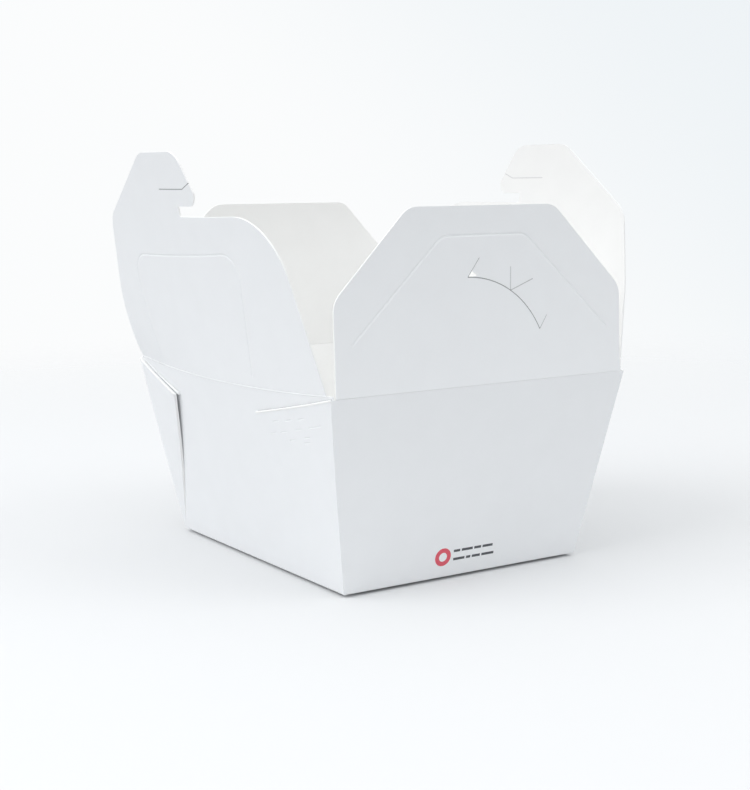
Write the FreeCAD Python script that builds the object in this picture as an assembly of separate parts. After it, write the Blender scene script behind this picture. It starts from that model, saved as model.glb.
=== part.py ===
import FreeCAD, Part
import os
from math import atan2, cos, degrees, radians, sin, tan

V = FreeCAD.Vector

# Folded takeout food box, one die-cut sheet of paperboard, in millimetres.
# +Z is up, the base rests on z = 0 and the origin is the centre of its underside.
# The short walls face -Y (front) and +Y (rear), the long walls -X (left) and +X (right).
# A panel outline is given as corners (along, up, radius): along runs to the right as seen
# from outside the box, up runs from the panel's crease, radius rounds the corner.

# Card and box
card = 0.5                  # thickness of the paperboard
base_short = 90.0           # base along X
base_long = 108.0           # base along Y
rim_short = 110.0           # rim along X
rim_long = 132.0            # rim along Y
rim_height = 64.0           # crease of the lock flaps above the table
crease_drop = 1.0           # the vent flaps' creases lie this much lower
crease_gap = 0.1            # between a flap's rounded lower end and its wall
base_lift = 1.0             # the folds round the base stand this much above the table
base_sag = 13.0             # width of the band in which the base sinks to the table
base_fold = 0.5             # outer radius of the folds round the base

# Webbed corners, folded double and glued on the outside of the long walls
web_half_angle = 39.2       # half of a web's angle in the flat sheet
web_fold_length = 63.2      # fold from the base corner to the top edge of the web
web_edge_radius = 0.35
web_lift = 0.25             # how far a glued web's fold stands off the wall
loose_half_angle = 30.5     # the rear left web has come unstuck: its fold has moved back
loose_fold_length = 57.5    # towards the corner and stands off the wall
loose_web_lift = 1.4

# Glue marks, V-shaped grooves in the front left web. Each has its share of the way from the rim
# corner to the web's tip and its share of the way down to the base corner.
glue_marks = [(0.730, 0.061), (0.555, 0.065), (0.386, 0.067), (0.425, 0.119), (0.261, 0.118),
              (0.176, 0.117), (0.778, 0.122), (0.629, 0.123), (0.326, 0.166), (0.518, 0.170),
              (0.330, 0.193)]
glue_mark_length = 3.6
glue_mark_width = 0.7
glue_mark_depth = 0.14
glue_mark_rise = 10.5       # the marks' rows rise to the front by this angle, degrees

# Vent flaps
vent_gap = 1.0              # between a flap's end and the end of its wall
vent_half = rim_short / 2 - vent_gap
vent_height = 54.0
vent_top_in = 26.6          # its top edge is this much shorter at each end
vent_top_half = vent_half - vent_top_in
vent_corner = 7.5
front_vent_lean = -2.0      # lean away from upright, outward is positive, degrees
rear_vent_lean = -5.5

# Pressed crease lines have sloping sides. This one is on the front vent flap.
press_width = 1.0
press_floor = 0.2           # width at the bottom of the line
press_depth = 0.18
press_below = 8.8           # below the flap's top edge
press_top_in = 11.7         # shorter than the flap's top edge at each end
press_low = 14.7            # height of its lower ends, and their distance from the sides
press_low_in = 5.8
press_corner = 6.0

# Cut arc on the front vent flap, with short straight cuts that lead away from it
slit_width = 0.3
arc_along = -6.4
arc_up = 2.1
arc_radius = 30.5
arc_start = 90.0            # degrees, from the along direction
arc_end = 26.0
tick_left = 30.0            # a tick line's turn from the radial direction, degrees
tick_right = -38.0
tick_long = 7.3
tick_longest = 9.4
tick_short = 5.1
open_side = 3.7             # foot of the small triangle that stands open at the arc's start
open_side_angle = 5.0
open_tip = 2.7              # its shorter side
open_tip_angle = 54.0

# Lock flaps
lock_gap = 1.0              # between the flap's back end and the end of its wall
lock_half = rim_long / 2 - lock_gap
lock_height = 73.8          # top of the hook head
lock_lean_left = 12.0
lock_lean_right = 10.0
foot_in = 2.6               # the crease is shorter by this on the shoulder's side
shoulder_up = 53.2
shoulder_in = 13.5          # the shoulder's corner, measured in from the flap's end
shoulder_radius = 24.0
neck_along = -0.8
notch_width = 3.4           # between the shoulder and the underside of the hook
notch_radius = 0.8
nose_along = 12.0
nose_up = 59.9
nose_radius = 2.2
chin_back = 2.6             # the nose's lower corner, measured back from its tip
chin_radius = 3.0
head_right = 4.2            # corners of the head's top edge, before rounding
head_left = -22.0
head_right_radius = 8.0
head_left_radius = 12.0
back_in = 8.5               # corner between the head's slanted back and the flap's side
back_up = 50.8
back_radius = 10.0
side_in = 3.0
side_up = 27.0
side_radius = 30.0
head_slit_up = 62.0
head_slit_bend = 4.8
head_slit_end = -12.2
head_slit_rise = 2.6        # the slit rises this much to the head's edge

# Pressed inset line on a lock flap
inset_left_in = 22.0        # its corners, measured in from the flap's ends
inset_left_foot_in = 23.5
inset_right_in = 34.2
inset_right_foot_in = 40.8
inset_low = 3.5
inset_high = 41.0
inset_corner = 8.0

GLUED = (web_half_angle, web_fold_length, web_lift)
LOOSE = (loose_half_angle, loose_fold_length, loose_web_lift)

OUT = V(0, -1, 0)           # outward normal of a panel in its own frame


def half_at(base, rim, z):
    """Half size of the box's outer face at height z."""
    return (base + (rim - base) * z / rim_height) / 2


def slope(base, rim):
    """Outward lean of a wall from upright, in radians."""
    return atan2((rim - base) / 2, rim_height)


def mid_at(base, rim, z):
    """Distance from the centre to the middle of a wall's sheet at height z."""
    return half_at(base, rim, z) - card / 2 / cos(slope(base, rim))


def polygon(points):
    return Part.makePolygon(points + points[:1])


def prism(points, along):
    """Solid swept from a flat polygon along a vector."""
    return Part.Face(polygon(points)).extrude(along)


def rounded_wire(corners):
    """Closed wire through corners (along, up, radius) in a panel's plane."""
    points = [V(along, 0, up) for along, up, radius in corners]
    starts, ends, arcs = [], [], []
    for i, (along, up, radius) in enumerate(corners):
        here = points[i]
        back = (points[i - 1] - here).normalize()
        ahead = (points[(i + 1) % len(points)] - here).normalize()
        if radius <= 0:
            starts.append(here)
            ends.append(here)
            arcs.append(None)
            continue
        half = back.getAngle(ahead) / 2
        middle = (back + ahead).normalize()
        reach = radius / tan(half)
        starts.append(here + back * reach)
        ends.append(here + ahead * reach)
        near = here + middle * (radius / sin(half) - radius)
        arcs.append(Part.Arc(starts[i], near, ends[i]).toShape())
    edges = []
    for i in range(len(points)):
        if (starts[i] - ends[i - 1]).Length > 1e-6:
            edges.append(Part.LineSegment(ends[i - 1], starts[i]).toShape())
        if arcs[i]:
            edges.append(arcs[i])
    return Part.Wire(edges)


def ribbon(path, width):
    """Closed wire of a band of this width along an open path of (along, up, radius)."""
    points = [V(along, 0, up) for along, up, radius in path]
    left, right = [], []
    for i, (along, up, radius) in enumerate(path):
        ahead = (points[min(i + 1, len(path) - 1)] - points[min(i, len(path) - 2)]).normalize()
        back = (points[max(i, 1)] - points[max(i - 1, 0)]).normalize()
        turn = degrees(atan2(back.x * ahead.z - back.z * ahead.x, back.dot(ahead)))
        side = (V(-ahead.z, 0, ahead.x) + V(-back.z, 0, back.x)).normalize()
        step = side * (width / 2 / cos(radians(turn / 2)))
        change = width / 2 if turn > 0 else -width / 2
        left.append((along + step.x, up + step.z, radius - change if radius else 0))
        right.append((along - step.x, up - step.z, radius + change if radius else 0))
    return rounded_wire(left + right[::-1])


def slab(wire, depth_from, depth_to):
    """Solid between two depths below a panel's outer face."""
    face = Part.Face(wire)
    face.translate(OUT * (card / 2 - depth_from))
    return face.extrude(OUT * (depth_from - depth_to))


def hinged_panel(corners):
    """Flat panel whose first edge is rounded about its crease, which is its X axis."""
    start, end = corners[0][0], corners[1][0]
    bead = Part.makeCylinder(card / 2, end - start, V(start, 0, 0), V(1, 0, 0))
    return slab(rounded_wire(corners), 0, card).fuse(bead).removeSplitter()


def tapered(path, top, depth):
    """Solid along a path that narrows from the pressed line's width, at this depth."""
    wires = []
    for share in (top, 1):
        wire = ribbon(path, press_width + (press_floor - press_width) * share)
        wire.translate(OUT * (card / 2 - depth - press_depth * share))
        wires.append(wire)
    return Part.makeLoft(wires, True, True)


def press_line(panel, path):
    """Press a line into the outer face, which stands proud on the inner face."""
    return panel.fuse(tapered(path, 0, card)).cut(tapered(path, -0.5, 0))


def cut_lines(panel, paths):
    """Cut thin slits right through."""
    for path in paths:
        panel = panel.cut(slab(ribbon(path, slit_width), -card, 2 * card))
    return panel


def arc_point(angle, radius=arc_radius):
    turn = radians(angle)
    return arc_along + radius * cos(turn), arc_up + radius * sin(turn)


def tick(angle, turn, length):
    """A short cut from the arc, turned away from its radial direction."""
    foot = arc_point(angle)
    way = radians(angle + turn)
    return [(foot[0], foot[1], 0), (foot[0] + length * cos(way), foot[1] + length * sin(way), 0)]


def vent_arc():
    """Path of the cut arc: its ends and the corner of their tangents, rounded to the arc."""
    middle = (arc_start + arc_end) / 2
    corner = arc_point(middle, arc_radius / cos(radians((arc_start - arc_end) / 2)))
    start, end = arc_point(arc_start), arc_point(arc_end)
    return [(start[0], start[1], 0), (corner[0], corner[1], arc_radius), (end[0], end[1], 0)]


def open_triangle():
    """The corner of card between the arc and its first tick, which is bent back and open."""
    foot = arc_point(arc_start)
    corners = [(foot[0], foot[1], 0)]
    for length, angle in ((open_side, open_side_angle), (open_tip, open_tip_angle)):
        way = radians(angle)
        corners.append((foot[0] + length * cos(way), foot[1] + length * sin(way), 0))
    return corners


def vent_blank():
    shoulder = vent_height - (vent_half - vent_top_half)
    return hinged_panel([(-vent_half, 0, 0), (vent_half, 0, 0),
                         (vent_half, shoulder, vent_corner),
                         (vent_top_half, vent_height, vent_corner),
                         (-vent_top_half, vent_height, vent_corner),
                         (-vent_half, shoulder, vent_corner)])


def front_vent_panel():
    low, high = vent_half - press_low_in, vent_top_half - press_top_in
    press_top = vent_height - press_below
    panel = press_line(vent_blank(), [(-low, press_low, 0), (-high, press_top, press_corner),
                                      (high, press_top, press_corner), (low, press_low, 0)])
    middle = (arc_start + arc_end) / 2
    panel = cut_lines(panel, [vent_arc(), tick(arc_start, tick_right, tick_long),
                              tick(middle, tick_left, tick_long),
                              tick(middle, tick_right, tick_longest),
                              tick(arc_end, tick_left, tick_short)])
    return panel.cut(slab(rounded_wire(open_triangle()), -card, 2 * card))


def lock_outline():
    hook_under = shoulder_up + notch_width
    return [(-lock_half, 0, 0), (lock_half - foot_in, 0, 0),
            (lock_half - shoulder_in, shoulder_up, shoulder_radius),
            (neck_along, shoulder_up, notch_radius),
            (neck_along, hook_under, notch_radius),
            (nose_along - chin_back, hook_under, chin_radius),
            (nose_along, nose_up, nose_radius),
            (head_right, lock_height, head_right_radius),
            (head_left, lock_height, head_left_radius),
            (back_in - lock_half, back_up, back_radius),
            (side_in - lock_half, side_up, side_radius)]


def lock_panel():
    panel = press_line(hinged_panel(lock_outline()),
                       [(inset_left_foot_in - lock_half, inset_low, 0),
                        (inset_left_in - lock_half, inset_high, inset_corner),
                        (lock_half - inset_right_in, inset_high, inset_corner),
                        (lock_half - inset_right_foot_in, inset_low, 0)])
    return cut_lines(panel, [[(nose_along, head_slit_up + head_slit_rise, 0),
                              (head_slit_bend, head_slit_up, 0),
                              (head_slit_end, head_slit_up, 0)]])


def place(panel, lean, distance, height, side):
    """Lean a panel outward, put its crease on its wall and turn it to its side."""
    flap = panel.copy()
    flap.rotate(V(0, 0, 0), V(1, 0, 0), lean)
    flap.translate(V(0, -distance, height))
    flap.rotate(V(0, 0, 0), V(0, 0, 1), side)
    return flap


def ring(z, x, y):
    return [V(-x, -y, z), V(x, -y, z), V(x, y, z), V(-x, y, z)]


def stacked(rings):
    """Flat-faced solid through rectangles that lie one above the other."""
    faces = [Part.Face(polygon(rings[0][::-1])), Part.Face(polygon(rings[-1]))]
    for low, high in zip(rings, rings[1:]):
        for i in range(4):
            faces.append(Part.Face(polygon([low[i - 1], low[i], high[i], high[i - 1]])))
    return Part.makeSolid(Part.makeShell(faces))


def tub(raise_by, z_high, inset_x, inset_y):
    """Solid between the walls' and the base's outer planes, moved in by the insets."""
    rings = [ring(raise_by, base_short / 2 - base_sag, base_long / 2 - base_sag)]
    for z in (base_lift + raise_by, z_high):
        rings.append(ring(z, half_at(base_short, rim_short, z) - inset_x,
                          half_at(base_long, rim_long, z) - inset_y))
    return stacked(rings)


def fold_edges(body):
    """The four edges between the base and the walls."""
    return [edge for edge in body.Edges
            if all(abs(corner.Z - base_lift) < 1e-6 for corner in edge.Vertexes)]


def web_corners(top, fold):
    """Outer corners of the web on the left wall's front end: base, rim and tip."""
    half_angle, length, lift = fold
    lean_x = slope(base_short, rim_short)
    wall = (rim_height - base_lift) / cos(lean_x)
    corner_lean = atan2((rim_long - base_long) / 2, rim_height / cos(lean_x))
    turn = radians(half_angle) - corner_lean
    up, along = length * cos(turn), length * sin(turn)
    proud = 2 * card
    tip_out = proud * up / wall + lift
    foot = V(-half_at(base_short, rim_short, base_lift),
             -half_at(base_long, rim_long, base_lift), base_lift)
    rim = V(-half_at(base_short, rim_short, top) - proud, -half_at(base_long, rim_long, top), top)
    tip = foot + V(-up * sin(lean_x) - tip_out, along, up * cos(lean_x))
    return foot, rim, tip


def web(top, fold):
    """A corner web: two layers against the wall's face."""
    foot, rim, tip = web_corners(top, fold)
    layers = prism([foot, rim, tip], V(2 * card, 0, 0))
    folded = [edge for edge in layers.Edges
              if edge.distToShape(Part.Vertex((foot + tip) * 0.5))[0] < 1e-6]
    return layers.makeFillet(web_edge_radius, folded)


def press_marks(body, top):
    """Press the rows of glue marks into the outer face of the front left web."""
    foot, rim, tip = web_corners(top, GLUED)
    normal = (tip - rim).cross(foot - rim).normalize()
    frame = FreeCAD.Rotation(V(0, -1, 0), V(0, 0, 1), normal, "ZXY")
    start = -glue_mark_length / 2
    for to_tip, to_foot in glue_marks:
        mark = prism([V(start, 0, -glue_mark_depth), V(start, glue_mark_width, glue_mark_depth),
                      V(start, -glue_mark_width, glue_mark_depth)], V(glue_mark_length, 0, 0))
        mark.rotate(V(0, 0, 0), V(0, 0, 1), glue_mark_rise)
        middle = rim + (tip - rim) * to_tip + (foot - rim) * to_foot
        mark.Placement = FreeCAD.Placement(middle, frame).multiply(mark.Placement)
        body = body.cut(mark)
    return body


def mirrored(shape, x, y):
    if x:
        shape = shape.mirror(V(0, 0, 0), V(1, 0, 0))
    if y:
        shape = shape.mirror(V(0, 0, 0), V(0, 1, 0))
    return shape


def carton():
    """Base, four walls and the four glued webs, folded from one sheet."""
    long_top = rim_height - card / 2 - crease_gap
    short_top = long_top - crease_drop
    body = tub(0, long_top, 0, 0)
    body = body.makeFillet(base_fold, fold_edges(body))
    for x, y in ((0, 0), (1, 0), (0, 1), (1, 1)):
        fold = LOOSE if (x, y) == (0, 1) else GLUED
        body = body.fuse(mirrored(web(short_top, fold), x, y))
    inset_x = card / cos(slope(base_short, rim_short))
    inset_y = card / cos(slope(base_long, rim_long))
    body = body.cut(tub(card, rim_height + card, inset_x, inset_y))
    inner = half_at(base_long, rim_long, short_top) - inset_y
    for sign in (-1, 1):
        start = inner if sign > 0 else -inner - rim_long
        body = body.cut(Part.makeBox(2 * rim_short, rim_long, rim_height,
                                     V(-rim_short, start, short_top)))
    return press_marks(body.removeSplitter(), short_top)


def flaps():
    short_crease = rim_height - crease_drop
    at_short = mid_at(base_long, rim_long, short_crease)
    at_long = mid_at(base_short, rim_short, rim_height)
    lock = lock_panel()
    return {
        "front_vent_flap": place(front_vent_panel(), front_vent_lean, at_short,
                                 short_crease, 0),
        "rear_vent_flap": place(vent_blank(), rear_vent_lean, at_short, short_crease, 180),
        "left_lock_flap": place(lock, lock_lean_left, at_long, rim_height, -90),
        "right_lock_flap": place(lock, lock_lean_right, at_long, rim_height, 90),
    }


parts = {"carton": carton()}
parts.update(flaps())

os.makedirs("parts", exist_ok=True)
for name, shape in parts.items():
    shape.exportStep("parts/" + name + ".step")
    print(name, "solids", len(shape.Solids), "valid", shape.isValid(),
          "volume", round(shape.Volume, 1), "box", shape.BoundBox)
print("size of the whole:", Part.makeCompound(list(parts.values())).BoundBox)
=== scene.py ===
# %% [markdown]
# A folded takeout food box of white paperboard, standing open.
#
# The box is one die-cut sheet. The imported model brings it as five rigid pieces: the glued
# tub, two eight-sided vent flaps on the short walls and two hooked lock flaps on the long
# walls. This script gives them the finish of coated board, lets the left wall and its flap
# bow the way thin board does, and adds the printed mark, a floor, light and a camera.

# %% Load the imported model
import math

import bmesh
import bpy
from mathutils import Matrix, Vector


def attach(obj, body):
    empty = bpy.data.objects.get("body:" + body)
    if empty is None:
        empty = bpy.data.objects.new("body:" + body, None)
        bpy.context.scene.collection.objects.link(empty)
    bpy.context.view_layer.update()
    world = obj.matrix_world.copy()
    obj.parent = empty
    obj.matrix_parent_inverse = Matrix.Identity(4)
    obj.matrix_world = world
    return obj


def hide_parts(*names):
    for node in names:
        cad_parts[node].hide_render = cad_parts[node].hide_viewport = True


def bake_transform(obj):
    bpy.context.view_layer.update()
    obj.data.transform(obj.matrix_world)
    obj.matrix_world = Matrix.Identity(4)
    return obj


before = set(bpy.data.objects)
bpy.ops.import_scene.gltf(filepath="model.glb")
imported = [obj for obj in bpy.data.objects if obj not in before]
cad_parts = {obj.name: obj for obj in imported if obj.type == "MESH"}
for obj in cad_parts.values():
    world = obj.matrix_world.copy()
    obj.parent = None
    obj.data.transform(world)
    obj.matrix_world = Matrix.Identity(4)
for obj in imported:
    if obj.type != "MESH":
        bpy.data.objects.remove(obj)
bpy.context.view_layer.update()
MM = 0.001
print("nodes:", sorted(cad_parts))

# %% [markdown]
# Shader maths reads best as plain sums. Each socket is wrapped in a small class, and
# every operator on it adds the Math node of the same name, so a mask is one line of
# Python instead of ten lines of links.

# %% Shader maths as Python expressions


class Wire:
    """A socket of a material's node tree that can be added, multiplied and compared."""

    def __init__(self, shader, socket):
        self.shader = shader
        self.socket = socket

    def _math(self, operation, *values):
        return self.shader.node("ShaderNodeMath", {"operation": operation}, *values)

    def __add__(self, other):
        return self._math("ADD", self, other)

    def __sub__(self, other):
        return self._math("SUBTRACT", self, other)

    def __rsub__(self, other):
        return self._math("SUBTRACT", other, self)

    def __mul__(self, other):
        return self._math("MULTIPLY", self, other)

    def __truediv__(self, other):
        return self._math("DIVIDE", self, other)

    def __gt__(self, other):
        return self._math("GREATER_THAN", self, other)

    def __lt__(self, other):
        return self._math("LESS_THAN", self, other)

    __radd__ = __add__
    __rmul__ = __mul__

    def absolute(self):
        return self._math("ABSOLUTE", self)

    def maximum(self, other):
        return self._math("MAXIMUM", self, other)


class Shader:
    """A material or world node tree, with one method that adds any node."""

    def __init__(self, owner):
        owner.use_nodes = True
        self.tree = owner.node_tree
        self.tree.nodes.clear()

    def plug(self, socket, value):
        if isinstance(value, Wire):
            self.tree.links.new(value.socket, socket)
        elif value is not None:
            socket.default_value = value

    def add(self, kind, settings=None, *values, **named):
        made = self.tree.nodes.new(kind)
        for name, value in (settings or {}).items():
            setattr(made, name, value)
        for socket, value in zip(made.inputs, values):
            self.plug(socket, value)
        for name, value in named.items():
            self.plug(made.inputs[name.replace("_", " ")], value)
        return made

    def node(self, kind, settings=None, *values, **named):
        return Wire(self, self.add(kind, settings, *values, **named).outputs[0])

    def outputs(self, kind, settings=None, *values, **named):
        made = self.add(kind, settings, *values, **named)
        return {out.name: Wire(self, out) for out in made.outputs}

    def mix(self, amount, low, high):
        """Mix two colours by an amount from 0 to 1."""
        made = self.tree.nodes.new("ShaderNodeMix")
        made.data_type = "RGBA"
        for index, value in ((0, amount), (6, low), (7, high)):
            self.plug(made.inputs[index], value)
        return Wire(self, made.outputs[2])

    def scale(self, vector, factor):
        return self.node("ShaderNodeVectorMath", {"operation": "SCALE"}, vector, Scale=factor)

    def split(self, vector):
        """The X, Y and Z of a vector socket."""
        return list(self.outputs("ShaderNodeSeparateXYZ", {}, vector).values())


# %% [markdown]
# Coated board is not one white. The outside carries a cool, smooth clay coat, the inside
# is warmer and duller, and a cut edge shows the bright pulp in the middle of the sheet.
# The material finds the side from the object's own coordinates: a face that looks towards
# the middle of the box is inside, and the base, seen from above, is inside as well. Which
# faces are cut edges depends on the panel: on a flap that stands across Y they are the
# ones that don't look along Y, and on the tub they are the ones that look up at the rim.

# %% Paperboard
OUTSIDE = (0.885, 0.90, 0.915, 1)
INSIDE = (0.93, 0.93, 0.92, 1)
PULP = (0.94, 0.945, 0.94, 1)
FIBRE, CLOUD = 0.45 * MM, 9 * MM
FIBRE_TONE, CLOUD_TONE = 0.03, 0.03    # how much each changes the colour
BASE_TOP = 8 * MM                      # what looks up below this height is the base
FACING, UP_FACING = 0.6, 0.5           # parts of a normal that count as looking one way


def paperboard(name, panel):
    """Board that tells its outside, its inside and its cut edges apart."""
    material = bpy.data.materials.new(name)
    board = Shader(material)
    place = board.outputs("ShaderNodeTexCoord")
    x, y, z = board.split(place["Object"])
    nx, ny, nz = board.split(place["Normal"])
    inward = ((x * nx + y * ny) < 0.0).maximum((nz > UP_FACING) * (z < BASE_TOP))
    cut = {"across_x": nx.absolute() < FACING, "across_y": ny.absolute() < FACING,
           "tub": (nz > FACING) * (z > BASE_TOP)}[panel]
    fibre = board.node("ShaderNodeTexNoise", {}, place["Object"], Scale=1 / FIBRE, Detail=3.0)
    cloud = board.node("ShaderNodeTexNoise", {}, place["Object"], Scale=1 / CLOUD, Detail=2.0)
    colour = board.mix(cut, board.mix(inward, OUTSIDE, INSIDE), PULP)
    colour = board.scale(colour, 0.97 + cloud * CLOUD_TONE + fibre * FIBRE_TONE)
    relief = board.node("ShaderNodeBump", {}, Height=fibre * 0.2 + cloud, Distance=0.06 * MM,
                        Strength=0.6)
    surface = board.node("ShaderNodeBsdfPrincipled", {}, Base_Color=colour, Normal=relief,
                         Roughness=0.52 + inward.maximum(cut) * 0.14 + fibre * 0.08)
    surface.socket.node.inputs["Specular IOR Level"].default_value = 0.35
    board.add("ShaderNodeOutputMaterial", {}, surface)
    return material


BOARDS = {panel: paperboard("paperboard_" + panel, panel)
          for panel in ("across_x", "across_y", "tub")}
PANELS = {"carton": "tub", "front_vent_flap": "across_y", "rear_vent_flap": "across_y",
          "left_lock_flap": "across_x", "right_lock_flap": "across_x"}

for name, panel in PANELS.items():
    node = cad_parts[name]
    node.data.materials.clear()
    node.data.materials.append(BOARDS[panel])
    print(name, "faces", len(node.data.polygons))

# %% [markdown]
# Half a millimetre of board does not stay flat. The left wall has spread at the rim, so its
# crease runs in a shallow arc, and the flap above it takes the same curve and turns out a
# little along its rear side. The rigid pieces can't have that shape, because a crease that
# turns has to be straight, so the visible tub and left flap are made again here: a merged
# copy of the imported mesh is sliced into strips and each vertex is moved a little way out.
# Every move fades to nothing at the base and at both ends of the wall. The pressed line of
# the left flap runs level in the photo, not along the crease, so the board under it also
# slides a millimetre or two within its own plane, down at the rear and up at the front.

# %% How far the left wall bows
RIM = 64 * MM
HALF_LENGTH = 66 * MM
BOW_OUT, BOW_DOWN = 3.5 * MM, 2.0 * MM
BOW_POWER = 1.5                        # how late the bow sets in on the way up the wall
LEFT_FROM, LEFT_FULL = 30 * MM, 45 * MM
CURL_OUT, CURL_HEIGHT, CURL_FROM = 3.2 * MM, 27 * MM, 8 * MM
SLIDE, SLIDE_FREE = 0.039, -3.6 * MM   # slide for each length along, and where it is nothing
SLIDE_ALONG = (-48 * MM, -32 * MM)
SLIDE_UP = (72 * MM, 98 * MM)          # the slide sets in over this height
SLIDE_OFF = (106 * MM, 116 * MM)       # and fades again over this one
LEFT_LEAN, RIGHT_LEAN, FRONT_LEAN = 12, 10, -2    # of the flaps, degrees from upright


def smooth(value, low, high):
    """0 below low, 1 above high and a smooth step between."""
    t = min(max((value - low) / (high - low), 0), 1)
    return t * t * (3 - 2 * t)


def bow(point):
    """Where a point of the left side goes when the board bows."""
    x, y, z = point
    middle = max(1 - (y / HALF_LENGTH) ** 2, 0)
    share = middle * min(max(z, 0) / RIM, 1) ** BOW_POWER * smooth(-x, LEFT_FROM, LEFT_FULL)
    up = max(z - RIM, 0) / CURL_HEIGHT
    curl = smooth(y, CURL_FROM, HALF_LENGTH) * up * math.exp(1 - up)
    band = smooth(z, *SLIDE_UP) * (1 - smooth(z, *SLIDE_OFF))
    slide = SLIDE * (y - SLIDE_FREE) * smooth(y, *SLIDE_ALONG) * band
    return Vector((x - BOW_OUT * share - CURL_OUT * curl
                   + math.tan(math.radians(LEFT_LEAN)) * slide, y,
                   z - BOW_DOWN * share - slide))


def bow_all(mesh):
    """Bow every vertex of a bmesh."""
    for vertex in mesh.verts:
        vertex.co = bow(vertex.co)


# %% [markdown]
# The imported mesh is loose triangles, as fine round the press lines as it is coarse on the
# flat board. Merging them and dissolving what lies in one plane gives clean faces, and
# planes every few millimetres then cut strips narrow enough to bend smoothly. Only real
# corners are marked sharp, so the strips shade as one curved sheet.

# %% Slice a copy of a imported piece
WELD = 0.001 * MM
FLAT_WITHIN = math.radians(0.05)
SHARP, ROD_SHARP = math.radians(20), math.radians(50)


def cut_across(mesh, spot, way):
    """Cut a bmesh by the plane through a spot, square to a way."""
    parts = mesh.verts[:] + mesh.edges[:] + mesh.faces[:]
    bmesh.ops.bisect_plane(mesh, geom=parts, plane_co=spot, plane_no=way, dist=WELD)


def sliced_copy(name, cuts):
    """A bmesh copy of a node's mesh, merged and cut by planes at (axis, place)."""
    mesh = bmesh.new()
    mesh.from_mesh(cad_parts[name].data)
    bmesh.ops.remove_doubles(mesh, verts=mesh.verts, dist=WELD)
    bmesh.ops.dissolve_limit(mesh, verts=mesh.verts, edges=mesh.edges, angle_limit=FLAT_WITHIN)
    for axis, place in cuts:
        spot, way = Vector((0, 0, 0)), Vector((0, 0, 0))
        spot[axis], way[axis] = place * MM, 1
        cut_across(mesh, spot, way)
    return mesh


def shade_smooth(mesh, sharp):
    """Shade a bmesh smooth up to this angle between its faces."""
    for edge in mesh.edges:
        edge.smooth = edge.calc_face_angle(0) < sharp
    for face in mesh.faces:
        face.smooth = True


def made_of(mesh, name, material):
    """Turn a bmesh into an object of one material."""
    piece = bpy.data.objects.new(name, bpy.data.meshes.new(name))
    mesh.to_mesh(piece.data)
    mesh.free()
    bpy.context.scene.collection.objects.link(piece)
    piece.data.materials.append(material)
    print(name, "faces", len(piece.data.polygons))
    return piece


ALONG = [(1, y) for y in range(-60, 61, 6)]
WALL_CUTS = ALONG + [(2, z) for z in range(6, 61, 6)]
FLAP_CUTS = ALONG + [(2, z) for z in [65, 66, 67, 68] + list(range(70, 134, 6))]

tub = sliced_copy("carton", WALL_CUTS)
flap = sliced_copy("left_lock_flap", FLAP_CUTS)
for mesh in (tub, flap):
    bow_all(mesh)
    bmesh.ops.triangulate(mesh, faces=mesh.faces)
    shade_smooth(mesh, SHARP)

# %% [markdown]
# The tub rides on the carton. The bowed flap is left where it is, attached to no body.

bowed_tub = made_of(tub, "bowed_tub", BOARDS["tub"])
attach(bowed_tub, "carton")
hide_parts("carton")

bowed_flap = made_of(flap, "bowed_left_flap", BOARDS["across_x"])
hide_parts("left_lock_flap")
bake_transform(bowed_flap)

# %% [markdown]
# Each flap turns on a fold of the same sheet, so there is no slot at the crease. The packed
# solids keep a tenth of a millimetre between flap and wall so that they can turn, and a
# fold, a slim rod as thick as the board, closes it. The folds ride on the tub: a rod looks
# the same however far the flap has turned. The rod along the left wall takes its bow.

# %% Folds along the four creases
BOARD = 0.5 * MM
ROD_SIDES = 10
FOLD_STEPS, EDGE_STEPS = 24, 12
FOLDS = {"front": ("across_y", (-54, -65.558, 62.87), (54, -65.558, 62.87)),
         "rear": ("across_y", (-54, 65.558, 62.87), (54, 65.558, 62.87)),
         "left": ("across_x", (-54.86, -62.4, 63.58), (-54.86, 65, 63.58)),
         "right": ("across_x", (54.86, -65, 63.58), (54.86, 62.4, 63.58))}


def rod(name, start, end, radius, steps, material, bowed=False, end_radius=None):
    """A slim closed rod between two points in millimetres, which rides on the tub."""
    start, end = Vector(start) * MM, Vector(end) * MM
    turned = (end - start).to_track_quat("Z", "Y").to_matrix().to_4x4()
    mesh = bmesh.new()
    bmesh.ops.create_cone(mesh, cap_ends=True, segments=ROD_SIDES, radius1=radius,
                          radius2=radius if end_radius is None else end_radius,
                          depth=(end - start).length,
                          matrix=Matrix.Translation((start + end) / 2) @ turned)
    way = (end - start).normalized()
    for step in range(1, steps):
        cut_across(mesh, start.lerp(end, step / steps), way)
    if bowed:
        bow_all(mesh)
    shade_smooth(mesh, ROD_SHARP)
    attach(made_of(mesh, name, material), "carton")


for name, (side, start, end) in FOLDS.items():
    rod("fold_" + name, start, end, BOARD / 2, FOLD_STEPS, BOARDS[side], bowed=name == "left")
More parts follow.
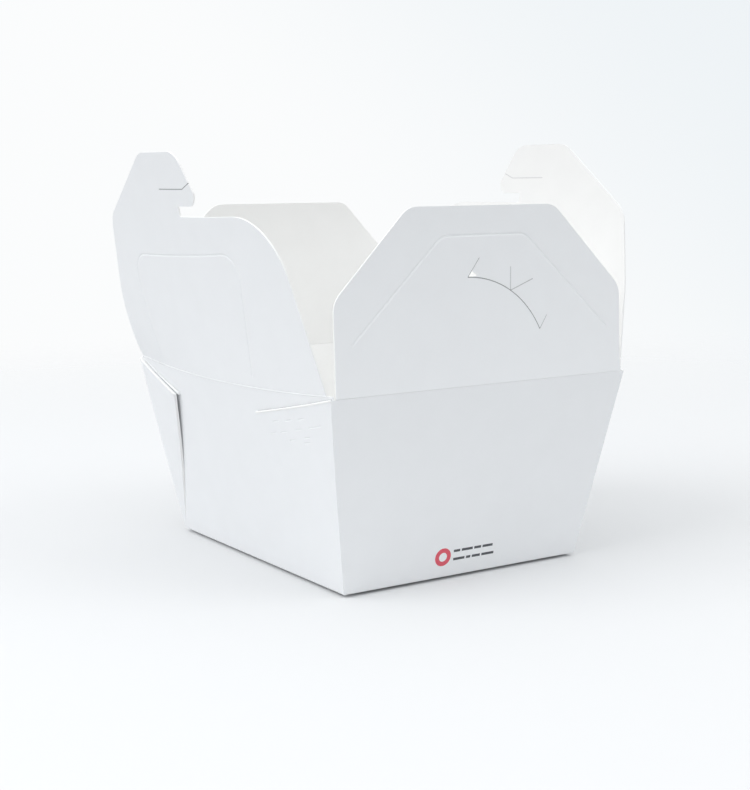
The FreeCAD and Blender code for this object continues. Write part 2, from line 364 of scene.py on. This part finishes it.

# %% [markdown]
# The webs at the corners end in a cut edge that runs down across the long walls. It is the
# brightest line on the box: the pale pulp of the cut, with a painted highlight where the edge
# catches the light. Just above it, the gap behind the glued layers shows as a dark line of
# shade.
# A near-white rod along the web's edge and a thin grey rod of painted shade in the corner
# between web and wall give both lines. The rear left web has come unstuck, so there the second
# rod is board and widens to the tip: the inner layer.

# %% Cut edges of the webs
WEB_RIM = (55.79, 65.75, 62.65)
WEB_TIP, LOOSE_TIP = (54.83, 23.83, 55.77), (55.74, 34.52, 54.38)
EDGE_RADIUS = 0.34 * MM
EDGE_BACK = Vector((0.12, 0.3, 0.12))            # from the web's corner to the rod's end
WALL_BASE, WALL_SLOPE = 45.0, 10 / 64            # the long wall's face, and how it leans
GAP_RADIUS, LOOSE_GAP_RADIUS = 0.15 * MM, 0.5 * MM
GAP_OFF, LOOSE_GAP_OFF = 0.05, 0.62              # from the wall's face
GAP_BACK, GAP_UP = 0.8, 0.16


def plain_finish(name, colour, grain_share):
    """Dull finish of one colour, speckled a little: ink, cut edges with a painted highlight, and
    painted shade in cuts and gaps.
    """
    material = bpy.data.materials.new(name)
    fibres = Shader(material)
    place = fibres.outputs("ShaderNodeTexCoord")
    grain = fibres.node("ShaderNodeTexNoise", {}, place["Object"], Scale=1 / FIBRE, Detail=2.0)
    surface = fibres.node("ShaderNodeBsdfPrincipled", {}, Roughness=0.7 + grain * 0.15,
                          Base_Color=fibres.mix(grain * grain_share, colour, OUTSIDE))
    fibres.add("ShaderNodeOutputMaterial", {}, surface)
    return material


# BRIGHT is pale pulp with a painted highlight on top, for the webs' cut edges.
BRIGHT = plain_finish("cut_fibres_and_painted_highlight", (0.98, 0.98, 0.97, 1), 0.05)
# SHADE is the dark grey of painted shade in closed cuts.
SHADE = plain_finish("closed_cut_painted_shade", (0.30, 0.31, 0.32, 1), 0.1)
# GAP is a grey of painted shade, for the gap behind the webs and the vent's short cuts.
GAP = plain_finish("gap_shade", (0.52, 0.53, 0.54, 1), 0.1)
# PALE_SHADE is a light grey of painted shade, for the right head slit.
PALE_SHADE = plain_finish("pale_cut_painted_shade", (0.70, 0.70, 0.70, 1), 0.1)

for name, x_side, y_side in (("front_left", -1, -1), ("front_right", 1, -1),
                             ("rear_left", -1, 1), ("rear_right", 1, 1)):
    loose = name == "rear_left"
    tip = LOOSE_TIP if loose else WEB_TIP
    ends = [(x_side * (x - EDGE_BACK.x), y_side * (y - EDGE_BACK.y), z - EDGE_BACK.z)
            for x, y, z in (WEB_RIM, tip)]
    # The bright rod: the pale cut edge, with a painted highlight on it.
    rod("web_edge_" + name, *ends, EDGE_RADIUS, EDGE_STEPS, BRIGHT, bowed=x_side < 0)
    tip_off = LOOSE_GAP_OFF if loose else GAP_OFF
    ends = [(x_side * (WALL_BASE + WALL_SLOPE * z + off), y_side * (y - GAP_BACK), z + GAP_UP)
            for (x, y, z), off in ((WEB_RIM, GAP_OFF), (tip, tip_off))]
    # The grey rod is painted shade in the gap between web and wall; on the loose web it is plain
    # board.
    rod("web_gap_" + name, *ends, GAP_RADIUS, EDGE_STEPS, BOARDS["across_x"] if loose else GAP,
        bowed=x_side < 0, end_radius=LOOSE_GAP_RADIUS if loose else GAP_RADIUS)

# %% [markdown]
# A die cuts the vent arc, its short side cuts and the slits in the lock heads. The board
# springs back, so these cuts are closed and read as lines, not as gaps that let light
# through. The imported flaps have slots of 0.3 mm there. Strips sunk a little below the outer
# face close them. Their grey is painted shade, the shade that gathers in a closed cut: darkest
# in the arc and the left slit, paler in the side cuts and palest in the right slit, which shows
# from inside, flush with the board. The arc is a cross-section spun round the arc's centre.

# %% Closed cuts
SLOT = 0.34 * MM
SUNK = 0.10 * MM
ARC_CENTRE, ARC_RADIUS, ARC_START, ARC_END = (-6.4, 2.1), 30.5, 90.0, 26.0
CUTS = [(90.0, -38.0, 7.3), (58.0, 30.0, 7.3), (58.0, -38.0, 9.4), (26.0, 30.0, 5.1)]
HEAD_SLIT = [((-12.2, 62.0), (4.8, 62.0)), ((4.8, 62.0), (9.4, 63.66))]
FACE = Vector((0, -1, 0))
CUT_START = 0.2                                  # side cuts begin this far off the arc
ARC_STEPS = 24
VENT_CREASE, LOCK_CREASE = (65.558, 63), (54.747, 64)    # distance out, and height


def flap_place(side, distance, height, lean):
    """From a flap's own frame (along, -outward, up) to its place on the box."""
    return (Matrix.Rotation(math.radians(side), 4, "Z")
            @ Matrix.Translation(Vector((0, -distance, height)) * MM)
            @ Matrix.Rotation(math.radians(lean), 4, "X"))


def strip(mesh, start, end):
    """A straight strip that fills a slot, sunk below the flap's outer face."""
    start, end = (Vector((along, 0, up)) * MM for along, up in (start, end))
    way = (end - start).normalized()
    turned = Matrix((way, FACE, way.cross(FACE))).transposed().to_4x4()
    size = Matrix.Diagonal(((end - start).length, BOARD - SUNK, SLOT, 1))
    middle = Matrix.Translation((start + end) / 2 - FACE * SUNK / 2)
    bmesh.ops.create_cube(mesh, size=1, matrix=middle @ turned @ size)


def arc_strip(mesh):
    """The long cut: the slot's cross-section spun round the arc's centre."""
    centre = Vector((ARC_CENTRE[0], 0, ARC_CENTRE[1])) * MM
    start = math.radians(ARC_START)
    outward = Vector((math.cos(start), 0, math.sin(start)))
    corners = []
    for across, deep in ((-1, -1), (1, -1), (1, 1), (-1, 1)):
        radius = ARC_RADIUS * MM + across * SLOT / 2
        depth = -BOARD / 2 if deep < 0 else BOARD / 2 - SUNK
        corners.append(mesh.verts.new(centre + outward * radius + FACE * depth))
    profile = mesh.faces.new(corners)
    bmesh.ops.spin(mesh, geom=[profile] + profile.edges[:] + profile.verts[:],
                   cent=centre, axis=(0, 1, 0), steps=ARC_STEPS,
                   angle=math.radians(ARC_START - ARC_END))


def arc_point(angle, along=0.0, turn=0.0):
    """A point on the arc, or this far from it in a direction turned from the radial one."""
    round_way, way = math.radians(angle), math.radians(angle + turn)
    return (ARC_CENTRE[0] + ARC_RADIUS * math.cos(round_way) + along * math.cos(way),
            ARC_CENTRE[1] + ARC_RADIUS * math.sin(round_way) + along * math.sin(way))


def fill_cuts(mesh, name, place, body, material, bowed=False):
    """Put filled cuts on their flap and let them ride on its body."""
    bmesh.ops.recalc_face_normals(mesh, faces=mesh.faces)
    bmesh.ops.transform(mesh, verts=mesh.verts, matrix=place)
    if bowed:
        bow_all(mesh)
    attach(made_of(mesh, name, material), body)


FRONT_FLAP = flap_place(0, *VENT_CREASE, FRONT_LEAN)
long_cut = bmesh.new()
arc_strip(long_cut)
# The arc's strip is dark with painted shade.
fill_cuts(long_cut, "vent_arc", FRONT_FLAP, "front_vent", SHADE)
short_cuts = bmesh.new()
for angle, turn, length in CUTS:
    strip(short_cuts, arc_point(angle, CUT_START, turn), arc_point(angle, length, turn))
# The side cuts' strips are grey with painted shade.
fill_cuts(short_cuts, "vent_side_cuts", FRONT_FLAP, "front_vent", GAP)

# The slits' strips carry painted shade: dark on the left flap, pale on the right.
for name, side, lean, fill in (("left", -90, LEFT_LEAN, SHADE), ("right", 90, RIGHT_LEAN, PALE_SHADE)):
    slit = bmesh.new()
    for start, end in HEAD_SLIT:
        strip(slit, start, end)
    fill_cuts(slit, "head_slit_" + name, flap_place(side, *LOCK_CREASE, lean), name + "_lock",
              fill, bowed=name == "left")

# %% [markdown]
# Low on the front wall stands a small printed mark: a plain red ring and two rows of short
# dark dashes. Printed ink has no thickness to speak of, but thin solids keep its outline
# crisp at any distance, so the mark is modelled a few hundredths of a millimetre proud of
# the wall.

# %% The printed mark
WALL_RUN, WALL_RISE = 12, 64
WALL_LEAN = math.atan2(WALL_RUN, WALL_RISE)
WALL_FOOT = Vector((0, -54, 0)) * MM
INK_DEPTH, INK_OFF = 0.03 * MM, 0.01             # thickness, and clear of the wall (mm)
INK_GRAIN = 0.12
RING_SIDES = 48
RING_OUT, RING_IN = 3.0 * MM, 1.5 * MM
RING_AT = (-9.4, 7.9)
DASH_HEIGHT = 0.85 * MM
DASHES = [(9.4, ((-5.4, -2.9), (-2.3, 2.0), (2.6, 5.3), (5.9, 9.9))),
          (6.6, ((-5.3, -0.9), (-0.3, 1.4), (2.0, 5.2), (5.8, 10.6)))]
RED = (0.72, 0.06, 0.10, 1)
DARK = (0.045, 0.05, 0.06, 1)

on_wall = Matrix.Translation(WALL_FOOT) @ Matrix.Rotation(math.pi / 2 + WALL_LEAN, 4, "X")


def print_on_wall(mesh, name, material):
    """Give flat ink its thickness, put it on the front wall and let it ride there."""
    bmesh.ops.recalc_face_normals(mesh, faces=mesh.faces)
    for face in mesh.faces:
        if face.normal.z < 0:
            face.normal_flip()
    bmesh.ops.solidify(mesh, geom=mesh.faces[:], thickness=INK_DEPTH)
    bmesh.ops.transform(mesh, verts=mesh.verts, matrix=on_wall)
    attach(made_of(mesh, name, material), "carton")


ring = bmesh.new()
for radius in (RING_OUT, RING_IN):
    bmesh.ops.create_circle(ring, segments=RING_SIDES, radius=radius)
bmesh.ops.bridge_loops(ring, edges=ring.edges)
bmesh.ops.translate(ring, verts=ring.verts, vec=Vector((*RING_AT, INK_OFF)) * MM)
print_on_wall(ring, "printed_ring", plain_finish("red_ink", RED, INK_GRAIN))

rows = bmesh.new()
for height, spans in DASHES:
    for start, end in spans:
        middle = Matrix.Translation(Vector(((start + end) / 2, height, INK_OFF)) * MM)
        size = Matrix.Diagonal(((end - start) * MM, DASH_HEIGHT, 1, 1))
        bmesh.ops.create_grid(rows, x_segments=1, y_segments=1, size=0.5, matrix=middle @ size)
print_on_wall(rows, "printed_dashes", plain_finish("dark_ink", DARK, INK_GRAIN))

# %% [markdown]
# The camera stands a little above the rim and looks at the corner between the front and
# the left wall. Its place is worked out backwards from the aim: along the view's azimuth
# and elevation by the distance, then rolled a touch, as the hand-held photograph is.

# %% Camera
AZIMUTH, ELEVATION, ROLL = math.radians(-32.93), math.radians(8.21), math.radians(-0.6)
DISTANCE = 0.4512
AIM = Vector((-29.44, -48.25, 60.0)) * MM
FOCAL_PIXELS, LONG_SIDE, SENSOR = 1480.9, 790, 36.0

back = Vector((math.sin(AZIMUTH) * math.cos(ELEVATION),
               -math.cos(AZIMUTH) * math.cos(ELEVATION), math.sin(ELEVATION)))
right = Vector((math.cos(AZIMUTH), math.sin(AZIMUTH), 0))
up = back.cross(right)
rolled_right = right * math.cos(ROLL) + up * math.sin(ROLL)
rolled_up = up * math.cos(ROLL) - right * math.sin(ROLL)

lens = bpy.data.cameras.new("camera")
lens.sensor_width = SENSOR
lens.lens = FOCAL_PIXELS * SENSOR / LONG_SIDE
lens.clip_start = 0.01
camera = bpy.data.objects.new("camera", lens)
turn = Matrix((rolled_right, rolled_up, back)).transposed().to_4x4()
camera.matrix_world = Matrix.Translation(AIM + back * DISTANCE) @ turn
bpy.context.scene.collection.objects.link(camera)
bpy.context.scene.camera = camera
bpy.context.scene.view_settings.view_transform = "Standard"

# %% [markdown]
# The photograph is high key: the ground melts into a near-white background. A wide disc of
# floor keeps the soft shadow near the box and fades out before its rim, where the world
# takes over. The sky that lights the box is brightest overhead, so it reaches the bottom
# of the box, and is dark at the horizon. The backdrop is a touch darker and bluer in one
# direction, up and to the right of the photograph. The direction is fixed in the world, so
# it stays put when the camera moves.

# %% Floor and world
BACKGROUND = (0.965, 0.975, 0.98, 1)
CORNER_TONE = (0.862, 0.90, 0.925, 1)
CORNER_WAY = (rolled_right + rolled_up).normalized()
CORNER_START, CORNER_END = 0.05, 0.34
FLOOR_RADIUS = 1.2
FLOOR_COLOUR = (0.745, 0.752, 0.757, 1)
FADE_START, FADE_END = 0.22, 0.75
SKY_LIGHT, HORIZON_LIGHT = 1.36, 0.13
SKY_COLOUR = (0.97, 0.985, 1.0, 1)


def floor_material():
    """Plain matt ground that fades out away from the box."""
    material = bpy.data.materials.new("floor")
    ground = Shader(material)
    place = ground.outputs("ShaderNodeTexCoord")
    length = ground.outputs("ShaderNodeVectorMath", {"operation": "LENGTH"}, place["Object"])
    fade = ground.node("ShaderNodeMapRange", {"interpolation_type": "SMOOTHSTEP"},
                       length["Value"], FADE_START, FADE_END, 0.0, 1.0)
    dull = ground.node("ShaderNodeBsdfDiffuse", {}, FLOOR_COLOUR)
    clear = ground.node("ShaderNodeBsdfTransparent")
    both = ground.node("ShaderNodeMixShader", {}, fade, dull, clear)
    ground.add("ShaderNodeOutputMaterial", {}, both)
    return material


bpy.ops.mesh.primitive_circle_add(vertices=128, radius=FLOOR_RADIUS, fill_type="NGON")
floor = bpy.context.object
floor.name = "floor"
floor.data.materials.append(floor_material())

world = bpy.data.worlds.new("world")
bpy.context.scene.world = world
sky = Shader(world)
ray = sky.outputs("ShaderNodeLightPath")
seen = ray["Is Camera Ray"].maximum(ray["Is Glossy Ray"]).maximum(ray["Is Transmission Ray"])
looking = sky.outputs("ShaderNodeTexCoord")["Generated"]
height = sky.split(looking)[2].maximum(0.0)
light = sky.node("ShaderNodeBackground", {}, SKY_COLOUR, height * SKY_LIGHT + HORIZON_LIGHT)
aside = sky.outputs("ShaderNodeVectorMath", {"operation": "DOT_PRODUCT"}, looking, CORNER_WAY)
deeper = sky.node("ShaderNodeMapRange", {"interpolation_type": "SMOOTHSTEP"}, aside["Value"],
                  CORNER_START, CORNER_END, 0.0, 1.0)
backdrop = sky.node("ShaderNodeBackground", {}, sky.mix(deeper, BACKGROUND, CORNER_TONE), 1.0)
sky.add("ShaderNodeOutputWorld", {}, sky.node("ShaderNodeMixShader", {}, seen, light, backdrop))

# %% [markdown]
# Two large soft lamps help the sky. One stands high on the left, where the photograph's
# long wall is brightest. The other is at the front right, half as strong: it lifts the front
# wall and draws the pressed line on the front flap, and reaches over that flap to the inside
# of the rear one.

# %% Lamps
BOX_MIDDLE = Vector((0, 0, 0.06))


def soft_lamp(name, place, size, power, colour):
    """A round area lamp that looks at the box."""
    lamp = bpy.data.lights.new(name, "AREA")
    lamp.shape = "DISK"
    lamp.size = size
    lamp.energy = power
    lamp.color = colour
    thing = bpy.data.objects.new(name, lamp)
    bpy.context.scene.collection.objects.link(thing)
    thing.location = place
    thing.rotation_euler = (Vector(place) - BOX_MIDDLE).to_track_quat("Z", "Y").to_euler()
    print("lamp", name, power, "W")


soft_lamp("window", (-1.1, 0.1, 1.0), 1.4, 7.8, (0.99, 0.99, 1.0))
soft_lamp("fill", (0.8, -1.1, 1.15), 1.2, 3.9, (1.0, 1.0, 1.0))
